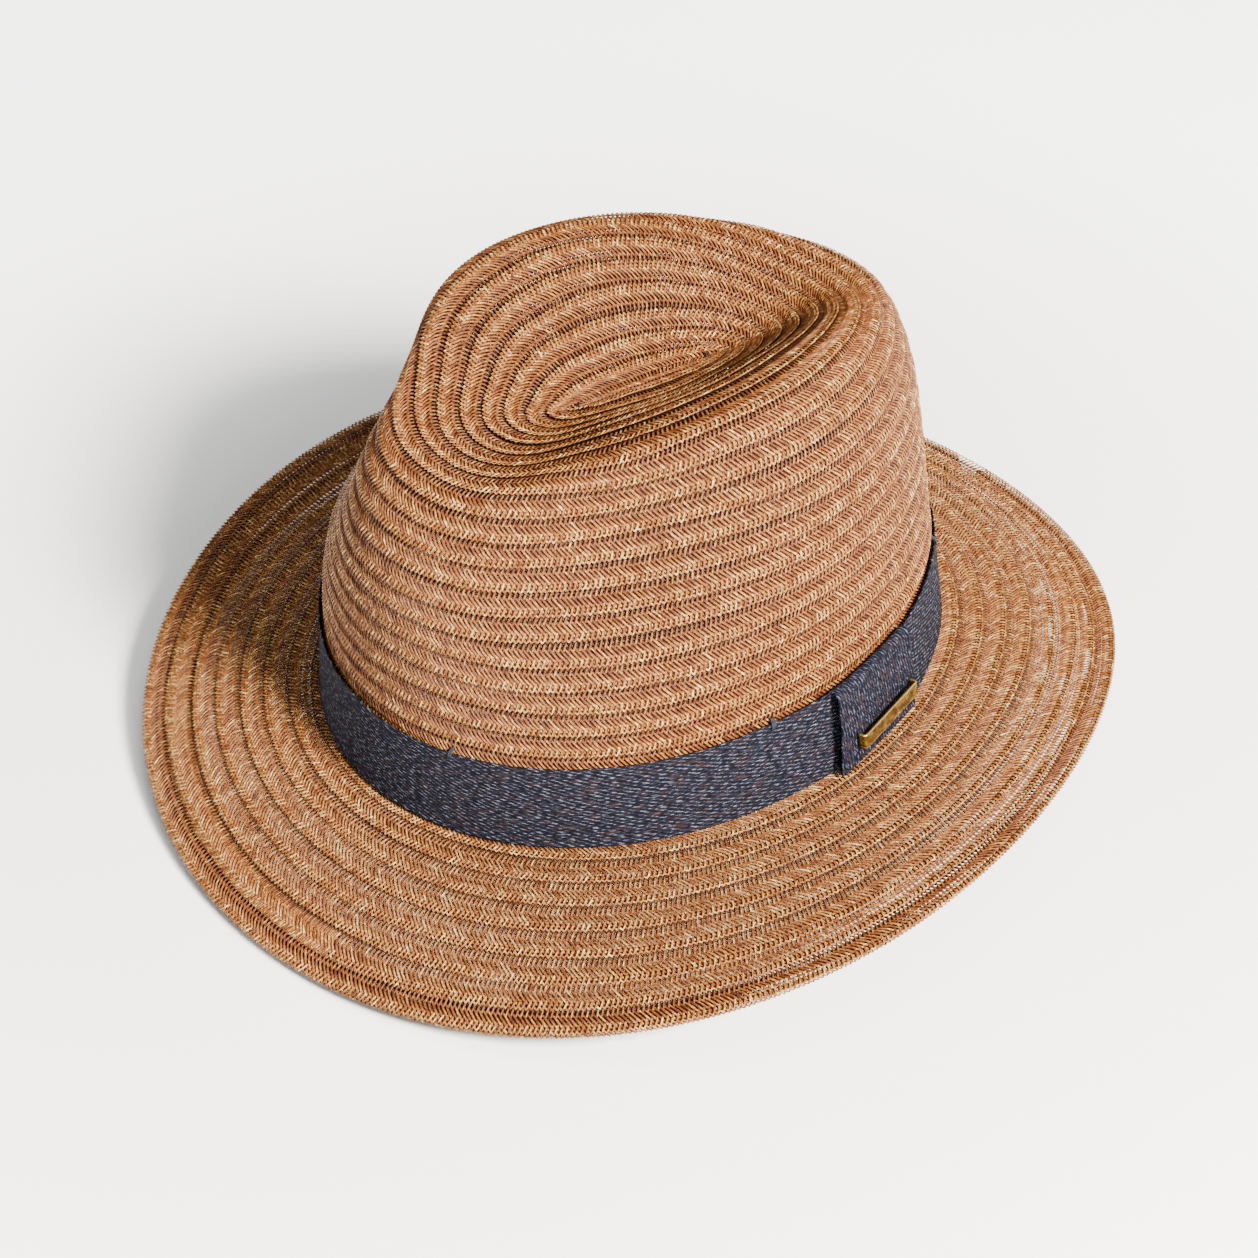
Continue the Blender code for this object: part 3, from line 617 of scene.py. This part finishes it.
def finish_braid_uv(mesh, periods, start):
    """Strand coordinates in metres of strand, and a packed map with a cell for each strand's period."""
    loops = len(mesh.loops)
    values = np.zeros(loops * 2)
    mesh.uv_layers["Strand"].data.foreach_get("uv", values)
    values = values.reshape(-1, 2)
    tile = np.arange(loops) // (loops // periods)
    strand = np.floor(values[:, 1] + 1e-6).astype(int)
    around = (values[:, 1] - strand) / STRAND_MAP
    share = values[:, 0].copy()
    strand_length = PERIOD * STRAND_RUN
    values[:, 0] = (share + tile + start) * strand_length + strand * 0.37
    uv_layer(mesh, "Strand", values)
    cells = periods * STRANDS
    columns = max(1, int(math.sqrt(cells / 9)))
    rows = math.ceil(cells / columns)
    cell = tile * STRANDS + strand
    packed = np.stack([(cell % columns + 0.03 + 0.94 * share) / columns,
                       (cell // columns + 0.08 + 0.84 * around) / rows], 1)
    uv_layer(mesh, "OFBake", packed)


def make_crown_braid():
    """One spiral from the middle of the tip, over the shoulder and down behind the ribbon."""
    first = SHEET_HIGH - 4.5 * MM
    # at NEAR_ANGLE the edge passes NEAR_SEAM plus whole pitches
    extra = (first - NEAR_SEAM) / ROW_PITCH % 1
    count = math.ceil((first - CROWN_ROWS_END) / ROW_PITCH * SPIRAL_STEPS) + 1
    steps = np.arange(count) / SPIRAL_STEPS
    turns = NEAR_ANGLE - TURN * extra + TURN * steps
    edge = first - ROW_PITCH * steps
    room = SHEET_HIGH - edge
    squeeze = np.minimum(1, room / PLAIT_WIDTH)
    # the first turn has no row above it, so it gets no painted shade from one
    covered = smooth_step((steps - 0.85) / 0.3)
    lay_braid("crown_braid", CROWN_UNIT, turns, edge, squeeze, np.zeros(count),
              ("crown_tip", "crown_wall"), 13, covered=covered)


def make_brim_braid():
    """The spiral goes on over the brim, and its last turn slides under the one before."""
    last = -SHEET_LOW - EDGE_ROW
    # it starts up behind the ribbon, so that the corner at the break has two layers
    steps = np.arange(int((last - BRIM_START) / BRIM_PITCH * SPIRAL_STEPS) + SPIRAL_STEPS) / SPIRAL_STEPS
    out = BRIM_START + BRIM_PITCH * steps
    extra = (NEAR_BRIM_SEAM - BRIM_START) / BRIM_PITCH % 1
    turns = NEAR_ANGLE - TURN * extra + TURN * steps
    out = np.minimum(out, last)
    lift = -0.35 * MM * smooth_step(steps - steps[-1] + 1)
    # the brim's open parts get weaker painted shade
    lay_braid("brim_braid", BRIM_UNIT, turns, -out, np.ones(len(turns)), lift, ("brim",), 8, BRIM_PITCH,
              shingle=0.10, depth=0.45)


def make_edge_braid():
    """The last row lies folded on itself: the plait above, and its turned-under half below."""
    steps = np.arange(SPIRAL_STEPS + 1) / SPIRAL_STEPS
    turns = math.pi / 2 + TURN * steps
    edge = np.full(len(turns), SHEET_LOW + 0.35 * MM)
    ones = np.ones(len(turns))
    lay_braid("edge_braid", BRIM_UNIT, turns, edge, ones, 0.25 * MM * ones, ("brim_edge",), 2)
    lay_braid("edge_braid_under", BRIM_UNIT, turns, edge, 0.72 * ones, -0.35 * MM * ones, ("brim_edge",), 2,
              mirror=True)


# --- laying cloth on the sheet ----------------------------------------------------------
def sheet_tree():
    tree = KDTree(SHEET.shape[0] * SHEET.shape[1])
    for number, point in enumerate(SHEET.reshape(-1, 3)):
        tree.insert(point, number)
    tree.balance()
    return tree


SHEET_TREE = sheet_tree()
ROW_STEP = (SHEET_HIGH - SHEET_LOW) / (SHEET.shape[1] - 1)


def survey(node):
    """Where a solid's corners are on the sheet: angle, row and distance off it."""
    co = vertex_array(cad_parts[node].data)
    found = np.array([SHEET_TREE.find(point)[1] for point in co])
    i, j = np.divmod(found, SHEET.shape[1])
    away = co - SHEET[i, j]
    along = SHEET[(i + 1) % AZIMUTHS, j] - SHEET[i - 1, j]
    part = 2 * (away * along).sum(1) / (along ** 2).sum(1)
    angle = (i + part) * TURN / AZIMUTHS
    middle = math.atan2(np.sin(angle).sum(), np.cos(angle).sum())
    angle = (angle - middle + math.pi) % TURN - math.pi + middle
    return angle, SHEET_LOW + j * ROW_STEP, (away * SHEET_NORMAL[i, j]).sum(1)


def face_line(node, angles, outward=True):
    """Distance off the sheet of a solid's outer or inner face, at each angle."""
    angle, _, off = survey(node)
    slots = np.round((angle - angle.min()) / math.radians(3)).astype(int)
    centres = []
    heights = []
    for slot in np.unique(slots):
        here = slots == slot
        ranked = np.sort(off[here])
        centres.append(angle[here].mean())
        few = max(3, len(ranked) // 4)
        heights.append(np.median(ranked[-few:] if outward else ranked[:few]))
    return np.interp(angles, centres, heights, period=TURN)


def cloth_grid(points, uv):
    """A grid bent to the given points, an array of (along, across, 3), with a map in metres."""
    nx, ny = points.shape[0] - 1, points.shape[1] - 1
    bm = bmesh.new()
    bmesh.ops.create_grid(bm, x_segments=nx, y_segments=ny, size=0.5)
    layer = bm.loops.layers.uv.new("Cloth")
    for face in bm.faces:
        for loop in face.loops:
            co = loop.vert.co
            loop[layer].uv = uv[round((co.x + 0.5) * nx), round((co.y + 0.5) * ny)]
    for vert in bm.verts:
        vert.co = points[round((vert.co.x + 0.5) * nx), round((vert.co.y + 0.5) * ny)]
    mesh = bpy.data.meshes.new("cloth")
    bm.to_mesh(mesh)
    bm.free()
    mesh.polygons.foreach_set("use_smooth", [True] * len(mesh.polygons))
    return mesh


def thicken(piece, thickness):
    """Gives a bent grid its thickness, behind its face."""
    solid = piece.modifiers.new("thickness", "SOLIDIFY")
    solid.thickness = thickness
    solid.offset = -1
    solid.use_even_offset = False


def arc_lengths(points):
    steps = np.linalg.norm(np.diff(points, axis=0), axis=1)
    return np.concatenate([[0], np.cumsum(steps)])


def strip(angles, rows, off):
    """Points and map of a strip on the sheet; off is its distance, by (angle, row)."""
    turn, row = np.meshgrid(angles, rows, indexing="ij")
    place, normal = on_sheet(turn.ravel(), row.ravel())
    points = (place + normal * np.broadcast_to(off, turn.shape).reshape(-1, 1)).reshape(*turn.shape, 3)
    along = arc_lengths(points[:, len(rows) // 2])
    uv = np.stack(np.broadcast_arrays(along[:, None], rows), axis=2)
    return points, uv


def add_cloth(name, material, points, uv, thickness, node):
    piece = add_piece(name, cloth_grid(points, uv), material)
    thicken(piece, thickness)
    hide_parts(node)
    return piece


def make_ribbon():
    """The band lies round the crown, its woven edges a little thicker, and ends under the keeper."""
    _, row, _ = survey("hatband")
    meet = survey("ribbon_keeper")[0].mean()
    half_gap = math.radians(0.3)
    angles = np.linspace(meet + half_gap, meet + TURN - half_gap, RIBBON_STEPS)
    foot, head = row[row > 0].min(), row.max()
    rows = np.linspace(foot, head, round((head - foot) / CLOTH_STEP) + 1)
    face = np.convolve(np.pad(face_line("hatband", angles), 12, mode="edge"), np.ones(25) / 25, "valid")
    place, _ = on_sheet(angles, np.full(len(angles), rows.mean()))
    along = arc_lengths(place)[:, None]
    up = rows[None, :] - rows[0]
    depth = rows[-1] - rows[0]
    edge = np.minimum(up, depth - up)
    selvedge = 0.18 * MM * smooth_step(1.3 - edge / (0.9 * MM))
    twill = np.cos(TURN * (up * math.cos(TWILL_ANGLE) + along * math.sin(TWILL_ANGLE)) / TWILL_SPACING)
    pucker = 0.10 * MM * np.sin(along / (31 * MM) + 2.1 * np.sin(along / (57 * MM))) * (up / depth) ** 2
    off = face[:, None] + RIBBON_EASE + selvedge + pucker + TWILL_RELIEF * twill
    points, uv = strip(angles, rows, off)
    return add_cloth("ribbon_band", TWILL, points, uv, RIBBON_THICKNESS, "hatband")


def keeper_section(back, face, low, high, count):
    """The loop's outline at one place: up behind the band, over, down the front and back under."""
    middle = (low + high) / 2
    depth = (face - back) / 2
    fold = np.linspace(0, math.pi, 12)
    # folds are fuller than half circles
    top = [(high - depth + depth * 1.05 * math.sin(t), back + depth - depth * math.cos(t)) for t in fold]
    bottom = [(low + depth - depth * 1.05 * math.sin(t), face - depth + depth * math.cos(t)) for t in fold]
    front = [(middle, face + 0.45 * MM)]
    line = [(middle + 0.6 * MM, back), *top, *front, *bottom, (middle - 0.6 * MM, back)]
    points, length = resample(np.array(line), count * 4)
    points = odd_smooth(points[None], length / (count * 4), 0.55 * MM)[0]
    return resample(points, count)[0]


def make_keeper(band):
    """A folded loop of the same ribbon, puffed, its front edge standing well off the band."""
    angle, row, off = survey("ribbon_keeper")
    angles = np.linspace(angle.min(), angle.max(), 82)
    row = row[row > 0]
    face = face_line("ribbon_keeper", angles) - KEEPER_PLY / 2
    face = np.polynomial.Polynomial.fit(angles, face, 3)(angles)
    back = off.min() + KEEPER_PLY / 2
    low, high = row.min() + 0.2 * MM, row.max() - 0.2 * MM
    share = np.linspace(0, 1, len(angles))
    flare = 0.9 * MM * (1 - share) ** 3 + 0.25 * MM * share ** 4
    points = []
    for number, turn in enumerate(angles):
        outline = keeper_section(back, face[number] + flare[number], low, high, OUTLINE_POINTS)
        # the loop's lower front corner hangs a little lower than the band's edge
        sag = 0.7 * MM * (1 - share[number]) ** 2 * smooth_step(1 - (outline[:, 0] - low) / (8 * MM))
        ripple = 0.10 * MM * np.sin(outline[:, 0] / (2.4 * MM) + 9 * share[number])
        place, normal = on_sheet(np.full(len(outline), turn), outline[:, 0] - sag)
        points.append(place + normal * (outline[:, 1] + ripple)[:, None])
    points = np.array(points)[:, ::-1]
    around = arc_lengths(points[len(angles) // 2])
    along = arc_lengths(points[:, OUTLINE_POINTS // 2])
    uv = np.stack(np.broadcast_arrays(along[:, None], around), axis=2)
    return add_cloth("folded_keeper", KEEPER_TWILL, points, uv, KEEPER_PLY, "ribbon_keeper")


def bar_axes():
    """The bar's own axes and front centre, read off its flat front face."""
    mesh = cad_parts["badge_bar"].data
    co = vertex_array(mesh)
    biggest = max(mesh.polygons, key=lambda p: p.area)
    out = np.array(biggest.normal)
    middle = co.mean(0)
    if out @ (np.array(biggest.center) - middle) < 0:
        out = -out
    outermost = co @ out
    front = co[outermost > outermost.max() - 0.1 * MM]
    _, _, directions = np.linalg.svd(front - front.mean(0), full_matrices=False)
    along = directions[0] - out * (directions[0] @ out)
    along /= np.linalg.norm(along)
    up = np.cross(out, along)
    if up[2] < 0:
        along, up = -along, -up
    spans = [np.ptp(co @ axis) for axis in (along, up, out)]
    centre = sum(axis * ((co @ axis).max() + (co @ axis).min()) / 2 for axis in (along, up))
    return along, up, out, centre + out * outermost.max(), spans


def make_bar():
    """A brass plate with turned-down ends and a fine raised rim round its face, which is left blank."""
    along, up, out, front, spans = bar_axes()
    bend = 0.9 * MM
    turn_down = 1.6 * MM
    half = spans[0] / 2
    reach = half - bend + bend * math.pi / 2 + turn_down
    s = np.linspace(-reach, reach, 91)
    y = np.linspace(-spans[1] / 2, spans[1] / 2, 15)
    past = np.clip(np.abs(s) - (half - bend), 0, None)
    arc = np.minimum(past / bend, math.pi / 2)
    x = np.sign(s) * (np.minimum(np.abs(s), half - bend) + bend * np.sin(arc))
    z = -bend * (1 - np.cos(arc)) - np.clip(past - bend * math.pi / 2, 0, None)
    points = (front + x[:, None, None] * along + y[None, :, None] * up + z[:, None, None] * out)
    # a fine raised rim runs round the face
    edge = np.minimum(spans[1] / 2 - np.abs(y)[None, :], np.clip(half - np.abs(s), 0, 9)[:, None])
    rim = np.exp(-((edge - 0.35 * MM) / (0.22 * MM)) ** 2)
    points += (rim * 0.12 * MM)[:, :, None] * out
    uv = np.stack(np.broadcast_arrays(s[:, None] + reach, y + spans[1] / 2), axis=2)
    mesh = cloth_grid(points, uv)
    co = vertex_array(mesh)
    near = np.clip(1 - (spans[1] / 2 - np.abs((co - front) @ up)) / (0.6 * MM), 0, 1)
    mark = mesh.attributes.new("rim", "FLOAT", "POINT")
    mark.data.foreach_set("value", near.astype(np.float32))
    piece = add_piece("brass_bar", mesh, antique_brass())
    thicken(piece, 0.7 * MM)
    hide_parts("badge_bar")


def tube_mesh(points, radius, sides=6, closed=False):
    """A round tube along a line of points."""
    count = len(points) if closed else len(points) - 1
    bm = bmesh.new()
    layer = bm.loops.layers.uv.new("Cloth")
    ring = bmesh.ops.create_circle(bm, cap_ends=not closed, segments=sides, radius=radius,
                                   matrix=Matrix.Rotation(math.pi / 2, 4, "Y"))["verts"]
    edges = list(bm.edges)
    for _ in range(count):
        grown = bmesh.ops.extrude_edge_only(bm, edges=edges)["geom"]
        moved = [g for g in grown if isinstance(g, bmesh.types.BMVert)]
        edges = [g for g in grown if isinstance(g, bmesh.types.BMEdge) and all(v in moved for v in g.verts)]
        bmesh.ops.translate(bm, verts=moved, vec=(1, 0, 0))
    if not closed:
        bmesh.ops.contextual_create(bm, geom=edges)
    line = np.asarray(points)
    ahead = np.roll(line, -1, axis=0) - np.roll(line, 1, axis=0)
    if not closed:
        ahead[0], ahead[-1] = line[1] - line[0], line[-1] - line[-2]
    ahead /= np.linalg.norm(ahead, axis=1)[:, None]
    side = np.cross(ahead, (0.13, 0.21, 0.97))
    side /= np.linalg.norm(side, axis=1)[:, None]
    rise = np.cross(side, ahead)
    lengths = arc_lengths(line)
    for face in bm.faces:
        for loop in face.loops:
            k = round(loop.vert.co.x)
            loop[layer].uv = (lengths[k % len(line)], loop.vert.co.y)
    for vert in bm.verts:
        k = round(vert.co.x) % len(line)
        vert.co = line[k] + side[k] * vert.co.y + rise[k] * vert.co.z
    if closed:
        bmesh.ops.remove_doubles(bm, verts=bm.verts, dist=0.01 * MM)
    bmesh.ops.recalc_face_normals(bm, faces=bm.faces)
    mesh = bpy.data.meshes.new("tube")
    bm.to_mesh(mesh)
    bm.free()
    mesh.polygons.foreach_set("use_smooth", [True] * len(mesh.polygons))
    return mesh


def make_tacks():
    """Three turns of navy thread over the ribbon's upper edge at each tack."""
    for number in range(1, 7):
        node = f"band_tack_{number}"
        angle, row, off = survey(node)
        top = (row.max() + row.min()) / 2
        crest = off.max() - THREAD_RADIUS
        tail = row.max() - 0.4 * MM
        turns = []
        for loop in range(3):
            lean = (loop - 1) * TACK_SPREAD
            # row, distance off the sheet and angle
            path = [(row.min() + 0.2 * MM, crest - 0.05 * MM, -0.002),
                    (top - 0.4 * MM, crest + 0.05 * MM, -0.001), (top + 0.3 * MM, crest - 0.15 * MM, 0),
                    (top + 0.7 * MM, crest - 0.9 * MM, 0.001), (tail, 0.75 * MM, 0.002),
                    (tail + 0.2 * MM, 0.3 * MM, 0.002)]
            turns += [(r, o, angle.mean() + lean + a) for r, o, a in path]
        line, _ = resample(np.array([[r, o, a * HAT_RADIUS] for r, o, a in turns]), 72)
        line = odd_smooth(line[None], 1.0, 1.3)[0]
        place, normal = on_sheet(line[:, 2] / HAT_RADIUS, line[:, 0])
        mesh = tube_mesh(place + normal * line[:, 1:2], THREAD_RADIUS)
        piece = add_piece(f"tack_thread_{number}", mesh, NAVY_THREAD)
        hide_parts(node)


def inner_strip(node, column_step, row_step):
    """Angles, rows and face distance of a tape on the crown's inner side."""
    angle, row, _ = survey(node)
    length = (angle.max() - angle.min()) * HAT_RADIUS
    angles = np.linspace(angle.min(), angle.max(), max(8, int(length / column_step)))
    rows = np.linspace(row.min(), row.max(), max(6, int((row.max() - row.min()) / row_step)))
    return angles, rows, face_line(node, angles, outward=False)


def make_inside():
    """The sweatband, its reed, the tape over its join and the blank label."""
    angles, rows, inner = inner_strip("sweatband", 1.5 * MM, 1.1 * MM)
    inner = np.convolve(np.pad(inner, 12, mode="edge"), np.ones(25) / 25, "valid")
    wave = np.sin(np.linspace(0, 61, len(angles)))[:, None]
    ease = 0.25 * MM * wave * smooth_step((rows - 20 * MM) / (14 * MM))
    ridge = 0.25 * MM * np.exp(-((rows[None, :] - rows[-1] + 3 * MM) / (0.7 * MM)) ** 2)
    points, uv = strip(angles, rows, inner[:, None] + ease - ridge + TAPE_PLY)
    band = add_cloth("sweatband_tape", BLACK_TAPE, points, uv, TAPE_PLY, "sweatband")

    co = vertex_array(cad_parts["sweatband_reed"].data)
    turn = np.arctan2(co[:, 1], co[:, 0]) % TURN
    slots = np.round(turn / TURN * REED_SLOTS).astype(int) % REED_SLOTS
    ring = low_pass(np.array([co[slots == k].mean(0) for k in range(REED_SLOTS)]), 16)
    ring = np.concatenate([ring, ring[:1]])
    dense = np.arange(6 * REED_SLOTS) / 6
    line = np.stack([np.interp(dense, np.arange(REED_SLOTS + 1), ring[:, k]) for k in range(3)], 1)
    line = low_pass(line, 20)
    height = np.ptp(co[slots == 0][:, 2])
    tube = tube_mesh(line, height / 2, 10, closed=True)
    reed = add_piece("sweatband_reed_cord", tube, BLACK_TAPE)
    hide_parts("sweatband_reed")

    for name, node, slot, material in (("join_tape", "sweatband_join_tape", "sweatband_cloth", BLACK_TAPE),
                                       ("blank_label", "size_label", "label_satin", SATIN)):
        angles, rows, inner = inner_strip(node, 0.6 * MM, 0.6 * MM)
        inner = np.full(len(angles), inner.mean())
        share = np.linspace(-1, 1, len(angles))[:, None]
        level = np.linspace(-1, 1, len(rows))[None, :]
        # the sewn border holds the patch down, and its middle stands proud
        puff = 0.25 * MM * (1 - share ** 8) * (1 - level ** 8)
        points, uv = strip(angles, rows, inner[:, None] + LABEL_PLY + 0.2 * MM - puff)
        add_cloth(name, material, points, uv, LABEL_PLY, node)


TWILL = twill_ribbon("Navy denim twill ribbon", 0.0, "5A5C68")
KEEPER_TWILL = twill_ribbon("Navy denim twill ribbon, turned", math.radians(62), "484A5A")
NAVY_THREAD = woven_tape("Navy polyester thread", "08090F", "171923", 900.0, 0.7)
BLACK_TAPE = woven_tape("Black cotton twill tape", "08080A", "2A282A", 700.0, 0.8)
SATIN = woven_tape("Woven satin label, blank", "A8A295", "DAD5C8", 600.0, 0.4)

make_crown_braid()
make_brim_braid()
make_edge_braid()
make_keeper(make_ribbon())
make_bar()
make_tacks()
make_inside()

# --- camera, light and floor ------------------------------------------------------------
AZIMUTH = math.radians(48.28)
ELEVATION = math.radians(37.15)
CAMERA_TARGET = Vector((0, 0, 41.2 * MM))
CAMERA_DISTANCE = 0.9729
CAMERA_LENS = 92.7
AIM_ASIDE = 2.31 * MM     # the camera aims a little left of the target
AIM_BELOW = 30.05 * MM    # and below it
PAPER_GLOW = 2.2
GLOW_START = 0.17         # metres from the middle, outside the brim
GLOW_FULL = 0.45
WORLD_STRENGTH = 0.25


def make_camera():
    back = Vector((math.sin(AZIMUTH) * math.cos(ELEVATION), -math.cos(AZIMUTH) * math.cos(ELEVATION),
                   math.sin(ELEVATION)))
    right = Vector((math.cos(AZIMUTH), math.sin(AZIMUTH), 0))
    up = back.cross(right)
    data = bpy.data.cameras.new("camera")
    data.sensor_width = 36.0
    data.lens = CAMERA_LENS
    data.clip_start = 0.05
    camera = bpy.data.objects.new("camera", data)
    bpy.context.scene.collection.objects.link(camera)
    camera.location = CAMERA_TARGET + back * CAMERA_DISTANCE
    aim = CAMERA_TARGET - right * AIM_ASIDE - up * AIM_BELOW
    turn = Matrix((right, up, back)).transposed()
    tilt = (aim - camera.location).normalized()
    camera.rotation_mode = "QUATERNION"
    camera.rotation_quaternion = (-back).rotation_difference(tilt) @ turn.to_quaternion()
    bpy.context.scene.camera = camera


def area_light(name, place, size, power, colour, aim=(0, 0, 0.04)):
    data = bpy.data.lights.new(name, "AREA")
    data.shape = "DISK"
    data.size = size
    data.energy = power
    data.color = srgb(colour)[:3]
    lamp = bpy.data.objects.new(name, data)
    bpy.context.scene.collection.objects.link(lamp)
    lamp.location = place
    lamp.rotation_mode = "QUATERNION"
    lamp.rotation_quaternion = (Vector(aim) - lamp.location).to_track_quat("-Z", "Y")


def make_stage():
    bm = bmesh.new()
    bmesh.ops.create_grid(bm, x_segments=1, y_segments=1, size=6.0)
    bmesh.ops.translate(bm, verts=bm.verts, vec=(0, 0, cad_low.z - 0.4 * MM))
    mesh = bpy.data.meshes.new("floor")
    bm.to_mesh(mesh)
    bm.free()
    floor = bpy.data.objects.new("floor", mesh)
    bpy.context.scene.collection.objects.link(floor)
    material, tree, surface = new_material("White studio paper, glowing away from the hat",
                                           Base_Color=srgb("F4F4F2"), Roughness=0.9,
                                           Emission_Color=srgb("FFFFFF"))
    # the paper doesn't glow under the hat, so its inside stays dark
    place = add_node(tree, "TexCoord").outputs["Object"]
    radius = add_node(tree, "VectorMath", {"operation": "LENGTH"}, _0=place).outputs["Value"]
    glow = add_node(tree, "MapRange", SMOOTH, Value=radius, From_Min=GLOW_START, From_Max=GLOW_FULL,
                    To_Min=0.0, To_Max=PAPER_GLOW)
    plug(tree, surface, Emission_Strength=glow)
    mesh.materials.append(material)
    world = bpy.data.worlds.new("studio")
    world.use_nodes = True
    background = world.node_tree.nodes["Background"]
    background.inputs["Color"].default_value = srgb("FFFFFF")
    background.inputs["Strength"].default_value = WORLD_STRENGTH
    bpy.context.scene.world = world
    area_light("key", (1.40, -0.10, 1.15), 0.45, 228, "FFF9F2")
    area_light("fill", (1.3, -1.1, 0.6), 0.6, 14, "FFFFFF")
    area_light("top", (0.3, 0.0, 1.6), 0.9, 16, "FFFFFF")


make_camera()
make_stage()
